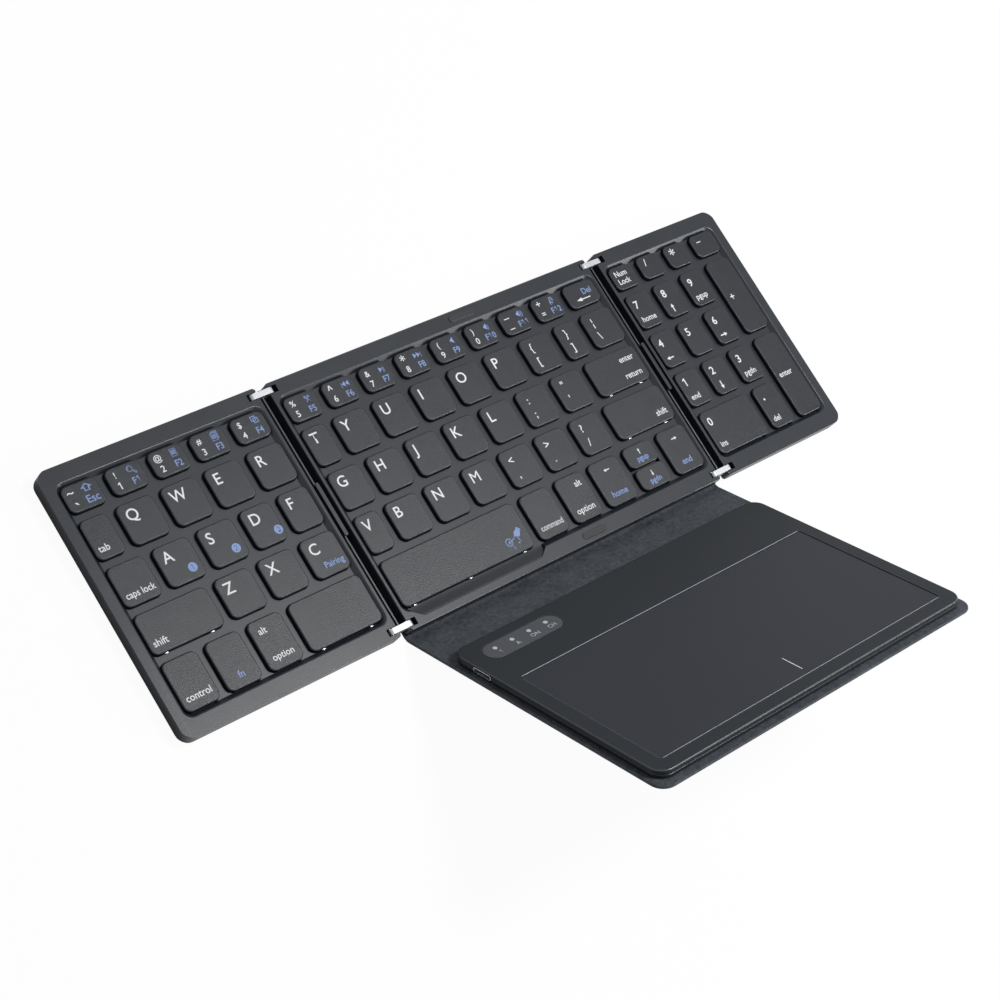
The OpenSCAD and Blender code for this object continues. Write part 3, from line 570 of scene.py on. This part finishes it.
legends = {
    "left_number_keys": [
        [("~", "tilde"), ("`", "grave"), ("⇧", "home", "blue"), ("Esc", "wideNumber", "blue")],
        digitCap("!", "𝟣", "🔍", "F𝟣"), digitCap("@", "2", "🗏", "F2"),
        digitCap("#", "3", "🗐", "F3"), digitCap("$", "4", "⧉", "F4")],
    "left_upper_keys": [[("tab", "word")], *letterCaps("QWER")],
    "left_home_keys": [
        [("caps lock", "longWord")], [("A", "letter"), ("➊", "badge", "blue")],
        [("S", "letter"), ("➋", "badge", "blue")], [("D", "letter"), ("➌", "badge", "blue")],
        [("F", "letter")]],
    "left_lower_keys": [[("shift", "word")], *letterCaps("ZX"),
                        [("C", "letter"), ("Pairing", "pairing", "blue")]],
    "left_modifier_keys": [[("control", "wordMiddle")], [("fn", "wordMiddle", "blue")],
                           [("alt", "wordHigh"), ("option", "wordLow")]],
    "left_space_key": [[]],
    "centre_number_keys": [
        digitCap("%", "5", "✂", "F5", "scissors"),
        digitCap("^", "6", "|◀◀", "F6", "smallIcon", upper="caret"),
        digitCap("&", "7", "▶||", "F7", "smallIcon"),
        digitCap("*", "8", "▶▶|", "F8", "smallIcon", upper="smallStar"),
        digitCap("(", "9", "◀", "F9", "soundIcon"),
        digitCap(")", "0", "◀)", "F𝟣0", "soundIcon"),
        digitCap("–", "–", "◀))", "F𝟣𝟣", "soundIcon", upper="bar", lower="lowBar"),
        digitCap("+", "=", "🔒", "F𝟣2", upper="plus"),
        [("Del", "rightHigh", "blue"), ("🠔", "longArrow")]],
    "centre_upper_keys": [*letterCaps("TYUIOP"), signCap("{", "["), signCap("}", "]"),
                          signCap("¦", "\\")],
    "centre_home_keys": [*letterCaps("GHJKL"), signCap(":", ";"), signCap("\"", "'")],
    "enter_key": [[("enter", "rightHigh"), ("return", "right")]],
    "centre_lower_keys": [*letterCaps("VBNM"), signCap("<", ","), signCap(">", "."),
                          signCap("?", "/")],
    "right_shift_key": [[("shift", "right")]],
    "space_bar": [[("⊘", "slashedRing", "blue"), ("🗔", "tiltedFrame", "blue"),
                   ("☚", "hand", "blue")]],
    "centre_bottom_keys": [
        [("command", "wordTight")], [("alt", "rightHigh"), ("option", "wordMiddle")],
        [("🠔", "arrow"), ("home", "wordMiddle", "blue")],
        [("🠖", "arrow"), ("end", "wordMiddle", "blue")]],
    "up_key": [[("🠕", "halfArrow"), ("pgup", "halfWord", "blue")]],
    "down_key": [[("🠗", "halfArrow"), ("pgdn", "halfWord", "blue")]],
    "keypad_top_keys": [[("Num", "numUpper"), ("Lock", "numLower")], [("/", "topSign")],
                        [("*", "star")], [("–", "topSign")]],
    "keypad_789_keys": [[("7", "padDigit"), ("home", "padWord")],
                        [("8", "padDigit"), ("🠕", "padArrow")],
                        [("9", "padDigit"), ("pgup", "padWord")]],
    "keypad_456_keys": [[("4", "padDigit"), ("🠔", "padArrow")], [("5", "padDigit")],
                        [("6", "padDigit"), ("🠖", "padArrow")]],
    "keypad_123_keys": [[("𝟣", "padDigit"), ("end", "padWord")],
                        [("2", "padDigit"), ("🠗", "padArrow")],
                        [("3", "padDigit"), ("pgdn", "padWord")]],
    "keypad_zero_keys": [[("0", "padDigit"), ("ins", "padWord")],
                         [(".", "dot"), ("del", "padWord")]],
    "keypad_tall_keys": [[("+", "tallSign")], [("enter", "tallWord")]],
}
markTurns = {"hand": 0.78, "tiltedFrame": 0.35}  # in radians
capHeightShare = 0.686  # of a letter's size in the built-in font
strokeGain = {"letter": 0.05, "padDigit": 0.06, "padArrow": 0.09, "arrow": 0.07,
              "halfArrow": 0.06, "wordTight": 0.01, "slashedRing": 0.05, "tiltedFrame": 0.05,
              "M": 0, "𝟣": 0.07, "other": 0.035}  # in mm, for the weight of the print


def textPiece(text, height, align, gain, stretch=1):
    bpy.ops.object.text_add(location=(0, 0, 0))
    mark = bpy.context.object
    mark.data.body = text
    mark.data.size = height / capHeightShare * mm
    mark.data.align_x = align
    mark.data.resolution_u = 4
    mark.data.offset = gain * mm
    bpy.ops.object.convert(target="MESH")
    mark = bpy.context.object
    mark.scale.x = stretch
    return mark


def printMark(box, mark):
    text, style = mark[:2]
    side, across, baseline, height, stretch = markStyles[style]
    left, front, right, back = box
    align = {"left": "LEFT", "right": "RIGHT"}.get(side, "CENTER")
    x = {"left": left + across, "right": right - across, "at": left + across,
         "middle": (left + right) / 2 + across}[side]
    y = front + baseline if baseline > 0 else back + baseline
    gain = strokeGain.get(text, strokeGain.get(style, strokeGain["other"]))
    piece = textPiece(text, height, align, gain, stretch)
    piece.rotation_euler.z = markTurns.get(style, 0)
    piece.location = (x * mm, y * mm, capTop + capLookSizes["floatPrint"] * mm)
    return piece


def printLegends(node, boxes):
    inks = {"white": [], "blue": []}
    for box, marks in zip(boxes, legends[node]):
        for mark in marks:
            ink = mark[2] if len(mark) > 2 else "white"
            deselectAll()
            inks[ink].append(printMark(box, mark))
    for ink, pieces in inks.items():
        if pieces:
            sheet = joinPieces(pieces, node.replace("_", "") + ink.title() + "Print")
            finish(sheet, node, whitePrint if ink == "white" else bluePrint)


for node in keyNodes:
    caps = roundedCaps(node)
    printLegends(node, capBoxes(caps))
print("caps and legends made")


# Leather cover: one sheet cut across the flap into two halves, each with close rows at one fold
# line, curved over the first fold line as it rests

coverLook = {"thick": 1.2, "bend": 1.5, "corner": 5.5, "edgeRound": 0.4, "fineRow": 0.35,
             "fineRows": 9, "wideRow": 6.0, "column": 13, "columns": 5}
flapLength = flapRun.length / mm
coverLow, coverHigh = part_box("leather_centre")
underLength = (coverHigh.y - foldLine.y) / mm
coverWidth = (coverHigh.x - coverLow.x) / mm


def flatBox(node):  # in mm, as a raised node lies when it is laid flat
    points = [raised.inverted() @ vertex.co / mm for vertex in cadNodes[node].data.vertices]
    return (Vector([min(p[i] for p in points) for i in range(3)]),
            Vector([max(p[i] for p in points) for i in range(3)]))


padLeatherEnd = flatBox("leather_pad")[0].y


def flatLeather(name, front, back, rounded):
    bpy.ops.mesh.primitive_plane_add(size=1, location=(0, (front + back) / 2 * mm, 0))
    piece = bpy.context.object
    piece.name = name
    piece.scale = (coverWidth * mm, (back - front) * mm, 1)
    settle(piece)
    if rounded:
        mesh = piece.data
        for group in (mesh.edges, mesh.polygons):
            group.foreach_set("select", [False] * len(group))
        for vertex in mesh.vertices:
            vertex.select = vertex.co.y < (front + 1) * mm
        bpy.context.scene.tool_settings.mesh_select_mode = (True, False, False)
        openEdit(piece, everything=False)
        bpy.ops.mesh.bevel(offset=rounded * mm, segments=8, profile=0.5, affect="VERTICES")
        closeEdit()
    return piece


def cutRows(piece, places, across):  # across is the direction from one cut to the next
    openEdit(piece)
    for where in places:
        bpy.ops.mesh.select_all(action="SELECT")
        bpy.ops.mesh.bisect(plane_co=across * where * mm, plane_no=across)
    closeEdit()


def rowsBetween(front, back, foldAt):
    fine, count, step = coverLook["fineRow"], coverLook["fineRows"], coverLook["wideRow"]
    rows = [foldAt + i * fine for i in range(-count, count + 1)]
    rows += [front + i * step for i in range(1, int((back - front) / step))
             if abs(front + i * step - foldAt) > (count + 1) * fine]
    return sorted(row for row in rows if front < row < back)


def curveOver(point):  # bends a flat point over the first fold line, in a smooth arc
    reach = coverLook["bend"] * mm
    along = point.y
    radius = reach / math.tan(restAngle / 2)
    if along >= reach:
        return foldLine + Vector((point.x, along, point.z))
    if along <= -reach:
        return raised @ Vector(point)
    turn = restAngle * (reach - along) / (2 * reach)
    middle = foldLine + Vector((0, reach, radius))
    outward = Vector((0, -math.sin(turn), -math.cos(turn)))
    return middle + outward * (radius - point.z) + Vector((point.x, 0, 0))


def leatherSheet(name, front, back, foldAt, rounded, nodes):
    piece = flatLeather(name, front, back, rounded)
    cutRows(piece, rowsBetween(front, back, foldAt), Vector((0, 1, 0)))
    columns = coverLook["columns"]
    cutRows(piece, [i * coverLook["column"] for i in range(-columns, columns + 1)],
            Vector((1, 0, 0)))
    applyModifier(piece, "SOLIDIFY", thickness=coverLook["thick"] * mm, offset=0)
    seamAt = (front if rounded == 0 else back) * mm
    bevelEdges(piece, coverLook["edgeRound"], 3,
               lambda middle, normals: squareEdge(normals)
               and abs(normals[0].z) + abs(normals[1].z) > 0.9 and not near(middle.y, seamAt))
    for vertex in piece.data.vertices:
        vertex.co = curveOver(vertex.co)
    smooth(piece, 40)
    piece.data.materials.append(leather)
    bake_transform(piece)
    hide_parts(*nodes)
    return piece


seam = -flapLength / 2
leatherSheet("coverUnderPanel", seam, underLength, 0, 0,
             ["leather_centre", "leather_flap"])
leatherSheet("coverUnderTouchpad", padLeatherEnd, seam, -flapLength, coverLook["corner"],
             ["leather_pad"])
print("leather made")


# Touchpad, worked on as it lies flat and raised afterwards

padSizes = {"corner": 5.5, "cornerShare": 1.02, "rim": 0.55, "recess": 0.12, "foot": 0.3,
            "seam": 0.07, "plateRim": 0.1, "windowRim": 0.14}
padLow, padHigh = flatBox("pad_cover")
baseLow, baseHigh = flatBox("pad_base")
touchLow, touchHigh = flatBox("touch_plate")
windowTop = flatBox("light_window")[1].z


def padOutline(middle):
    return onRim(middle, padLow * mm, padHigh * mm, padSizes["corner"] * mm,
                 padSizes["cornerShare"])


def roundWearAndHighlight(middle, normal):
    return 0.15 < abs(normal.z) < 0.97


def topWearAndHighlight(middle, normal):
    return 0.2 < normal.z < 0.97


def raisePiece(piece, material, node=None, wearAndHighlightFaces=roundWearAndHighlight):
    smooth(piece, 35)
    markWearAndHighlight(piece, wearAndHighlightFaces)
    piece.data.transform(raised)
    return finish(piece, "touchpad", material, [node] if node else ())


def padPieces():
    cover = softCopy("pad_cover", "touchpadUpperCase", laidFlat=True)
    top = padHigh.z * mm
    bevelEdges(cover, padSizes["rim"], 5,
               lambda middle, normals: near(middle.z, top) and padOutline(middle))
    bevelEdges(cover, padSizes["recess"], 2,
               lambda middle, normals: near(middle.z, top) and upAndSide(normals)
               and not padOutline(middle))
    bevelEdges(cover, padSizes["seam"], 1,
               lambda middle, normals: near(middle.z, padLow.z * mm) and padOutline(middle))
    raisePiece(cover, padFinish, "pad_cover", topWearAndHighlight)
    lower = softCopy("pad_base", "touchpadLowerCase", laidFlat=True)
    bevelEdges(lower, padSizes["seam"], 1,
               lambda middle, normals: near(middle.z, baseHigh.z * mm) and padOutline(middle))
    bevelEdges(lower, padSizes["foot"], 3,
               lambda middle, normals: near(middle.z, baseLow.z * mm) and padOutline(middle))
    raisePiece(lower, padFinish, "pad_base")
    plate = softCopy("touch_plate", "touchArea", laidFlat=True)
    bevelEdges(plate, padSizes["plateRim"], 2,
               lambda middle, normals: near(middle.z, touchHigh.z * mm) and upAndSide(normals))
    raisePiece(plate, touchFinish, "touch_plate")
    window = softCopy("light_window", "lightWindow", laidFlat=True)
    bevelEdges(window, padSizes["windowRim"], 3,
               lambda middle, normals: near(middle.z, windowTop * mm) and upAndSide(normals))
    raisePiece(window, windowFinish, "light_window")


# line, thick, sunk, outside, shorter and the shares size the painted highlight strips; the tick
# and text values size the print
markSizes = {"line": 0.32, "thick": 0.15, "sunk": 0.06, "outside": 0.1, "shorter": 1.5,
             "frontShare": 0.7, "leftShare": 0.5, "leftShorter": 3, "tickLength": 8.9,
             "tickFront": 3.2, "tickX": 1.1, "tickWidth": 0.35, "tickThick": 0.05,
             "tickLift": 0.005, "textHeight": 1.8, "textGain": 0.02, "textRight": 0.3,
             "textFront": 3.9}


# A thin strip on the laid touchpad, with its edge rounded
def strip(name, x, y, z, width, length, thick):
    bpy.ops.mesh.primitive_cube_add(size=1, location=(x * mm, y * mm, z * mm))
    piece = bpy.context.object
    piece.name = name
    piece.scale = (width * mm, length * mm, thick * mm)
    settle(piece)
    bevelEdges(piece, min(width, length) * 0.3, 2,
               lambda middle, normals: abs(normals[0].z) + abs(normals[1].z) > 0.9)
    return piece


# Painted highlights: pale strips along the back and front edges of the touch area, and a faint
# one along its left edge, stand in for light caught on the recess's chamfered rim
def touchLines():
    sizes = markSizes
    middle = (touchLow + touchHigh) / 2
    width = touchHigh.x - touchLow.x - sizes["shorter"]
    lineZ = padHigh.z - sizes["sunk"]
    lines = [strip("touchLineBack", middle.x, touchHigh.y + sizes["outside"], lineZ, width,
                   sizes["line"], sizes["thick"]),
             strip("touchLineFront", middle.x, touchLow.y - sizes["outside"], lineZ, width,
                   sizes["line"] * sizes["frontShare"], sizes["thick"])]
    raisePiece(joinPieces(lines, "touchLines"), paintedHighlightFinish)
    # The faint left strip is a painted highlight too, in the window's grey
    left = strip("touchLineLeft", touchLow.x, middle.y, lineZ, sizes["line"] * sizes["leftShare"],
                 touchHigh.y - touchLow.y - sizes["leftShorter"], sizes["thick"])
    raisePiece(left, windowFinish)
    tickMiddle = touchLow.y + sizes["tickFront"] + sizes["tickLength"] / 2
    tick = strip("touchTick", sizes["tickX"], tickMiddle, touchHigh.z + sizes["tickLift"],
                 sizes["tickWidth"], sizes["tickLength"], sizes["tickThick"])
    raisePiece(tick, whitePrint)


def windowMarks():
    texts = []
    for (x, y), text in zip(lightSpots(), ("𝟣", "A", "ON", "CH")):
        deselectAll()
        piece = textPiece(text, markSizes["textHeight"], "CENTER", markSizes["textGain"])
        piece.location = ((x + markSizes["textRight"]) * mm, (y - markSizes["textFront"]) * mm,
                          (windowTop + capLookSizes["floatPrint"]) * mm)
        texts.append(piece)
    marks = joinPieces(texts, "windowMarks")
    marks.data.transform(raised)
    finish(marks, "touchpad", paleMark)


def lightSpots():
    piece = softCopy("lights", "lightProbe", laidFlat=True)
    boxes = capBoxes(piece)
    bpy.data.objects.remove(piece)
    return [((left + right) / 2, (front + back) / 2) for left, front, right, back in boxes]


padPieces()
touchLines()
windowMarks()
print("touchpad made")


# Hinge links, spines, cable covers, bumpers and feet, and how far each is rounded off

fittingRounds = {"links": 0.3, "spine": 0.12, "cable": 0.22, "rubber": 0.3}


def sharpEdge(middle, normals):
    return len(normals) == 2 and normals[0].dot(normals[1]) < 0.5


def softNode(node, name, body, material, width, segments, wanted=sharpEdge):
    piece = softCopy(node, name)
    bevelEdges(piece, width, segments, wanted)
    smooth(piece, 40)
    markWearAndHighlight(piece, lambda middle, normal: max(abs(axis) for axis in normal) < 0.97)
    return finish(piece, body, material, [node])


for side in ("left", "right"):
    hinge, wing = side + "_hinge", side + "_wing"
    softNode(side + "_links", side + "HingeLinks", hinge, linkMetal,
             fittingRounds["links"], 3, lambda middle, normals: squareEdge(normals))
    softNode(side + "_spine", side + "HingeSpine", hinge, spineFinish,
             fittingRounds["spine"], 2)
    softNode(side + "_cable_cover", side + "CableCover", hinge, caseFinish,
             fittingRounds["cable"], 3)
    softNode(side + "_feet", side + "Feet", wing, rubberFinish,
             fittingRounds["rubber"], 3)
softNode("fold_bumpers", "foldBumpers", "centre", rubberFinish,
         fittingRounds["rubber"], 3, lambda middle, normals: upAndSide(normals))
print("hinges and feet made")


# Ends of the stabiliser wires, at the foot of the long caps' front walls

wireLook = {"length": 1.5, "radius": 0.26, "inset": 5.2, "forward": 0.12, "height": 4.8,
            "shiftWidth": 29}


def wireEnd(x, y):
    bpy.ops.mesh.primitive_cylinder_add(vertices=16, radius=wireLook["radius"] * mm,
                                        depth=wireLook["length"] * mm,
                                        location=Vector((x, y, wireLook["height"])) * mm,
                                        rotation=(0, math.pi / 2, 0))
    piece = bpy.context.object
    settle(piece)
    bevelEdges(piece, wireLook["radius"] * 0.6, 3, lambda middle, normals: squareEdge(normals))
    return piece


def wireEnds(name, body, nodes):
    ends = []
    for node in nodes:
        low, high = [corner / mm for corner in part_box(node)]
        if node == "left_lower_keys":  # only the shift key of this row has a wire
            high.x = low.x + wireLook["shiftWidth"]
        places = [low.x + wireLook["inset"], high.x - wireLook["inset"]]
        if node == "space_bar":
            places.append((low.x + high.x) / 2)
        for x in places:
            deselectAll()
            ends.append(wireEnd(x, low.y - wireLook["forward"]))
    piece = joinPieces(ends, name)
    smooth(piece, 40)
    return finish(piece, body, pinMetal)


wireEnds("leftWireEnds", "left_wing", ["left_lower_keys", "left_space_key"])
wireEnds("centreWireEnds", "centre", ["space_bar", "enter_key", "right_shift_key"])
print("wire ends made")


# What stays as the CAD gives it gets its finish

keptFinishes = {
    plateMetal: ("centre_plate", "left_plate", "right_plate", "charging_socket"),
    pinMetal: ("centre_pins", "left_pins", "right_pins", "left_screws", "right_screws"),
    membraneFinish: ("centre_membrane", "left_membrane", "right_membrane"),
    lightGuide: ("lights",),
    circuitFinish: ("circuit_board",),
    batteryFoil: ("battery",),
}
for material, names in keptFinishes.items():
    for name in names:
        mesh = cadNodes[name].data
        mesh.materials.clear()
        mesh.materials.append(material)
print("CAD pieces finished")


# Floor, light and camera

studio = {"floorSize": 6, "floorDrop": 0.02, "floorShow": 0.95, "worldLight": 0.25,
          "keyPower": 7.4, "keySize": 0.24, "keyPlace": (0.36, -0.10, 0.95),
          "fillPower": 6.5, "fillSize": 0.4, "fillPlace": (0.98, -0.90, 0.52)}


def whiteFloor():
    bpy.ops.mesh.primitive_plane_add(size=studio["floorSize"],
                                     location=(0, 0, -studio["floorDrop"] * mm))
    floor = bpy.context.object
    floor.name = "studioFloor"
    paint = Paint("paleFloor", Roughness=0.7)
    dust = paint.noise(4, 3)
    paint.feed(Base_Color=paint.blend(dust, (0.86, 0.86, 0.86, 1), (0.9, 0.9, 0.9, 1)))
    seen = paint.node("LightPath", {}, {}, "Is Camera Ray")
    glow = paint.node("Emission", {}, {"Color": (1, 1, 1, 1), "Strength": 1.0})
    mixed = paint.node("MixShader", {}, {0: seen * studio["floorShow"],
                                         1: Wire(paint, paint.shader.outputs[0]), 2: glow})
    paint.tree.links.new(mixed.socket, paint.tree.nodes["Material Output"].inputs["Surface"])
    floor.data.materials.append(paint.material)


def whiteWorld():
    world = bpy.data.worlds.new("studioWorld")
    bpy.context.scene.world = world
    world.use_nodes = True
    sky = Nodes(world.node_tree)
    seen = sky.node("LightPath", {}, {}, "Is Camera Ray")
    for ray in ("Is Glossy Ray", "Is Transmission Ray"):
        seen = seen.maths("MAXIMUM", sky.node("LightPath", {}, {}, ray))
    strength = sky.node("MapRange", {}, {0: seen, "To Min": studio["worldLight"], "To Max": 1.0})
    background = sky.tree.nodes["Background"]
    background.inputs["Color"].default_value = (1, 1, 1, 1)
    sky.tree.links.new(strength.socket, background.inputs["Strength"])


def softLamp(name, place, size, power):
    bpy.ops.object.light_add(type="AREA", location=place)
    lamp = bpy.context.object
    lamp.name = name
    lamp.data.size = size
    lamp.data.energy = power
    lamp.rotation_mode = "QUATERNION"
    lamp.rotation_quaternion = (-Vector(place)).to_track_quat("-Z", "Y")


# The camera's place and turn come from the fit to the keyboard's straight edges and key pitch
cameraView = {"place": (-517.2, -154.8, 681.2), "forward": (0.58806, 0.15602, -0.79363),
              "up": (0.33989, 0.84271, 0.41752), "lens": 84.935, "sensor": 36}


def photoCamera():
    forward = Vector(cameraView["forward"]).normalized()
    right = forward.cross(Vector(cameraView["up"])).normalized()
    up = right.cross(forward)
    camera = bpy.data.objects.new("photoCamera", bpy.data.cameras.new("photoCamera"))
    bpy.context.scene.collection.objects.link(camera)
    camera.data.lens = cameraView["lens"]
    camera.data.sensor_width = cameraView["sensor"]
    turn = Matrix((right, up, -forward)).transposed().to_4x4()
    camera.matrix_world = Matrix.Translation(Vector(cameraView["place"]) * mm) @ turn
    camera.data.clip_end = 20
    bpy.context.scene.camera = camera


deselectAll()
whiteFloor()
whiteWorld()
softLamp("keyLamp", studio["keyPlace"], studio["keySize"], studio["keyPower"])
softLamp("fillLamp", studio["fillPlace"], studio["fillSize"], studio["fillPower"])
photoCamera()
bpy.context.scene.view_settings.view_transform = "Standard"
print("studio made")
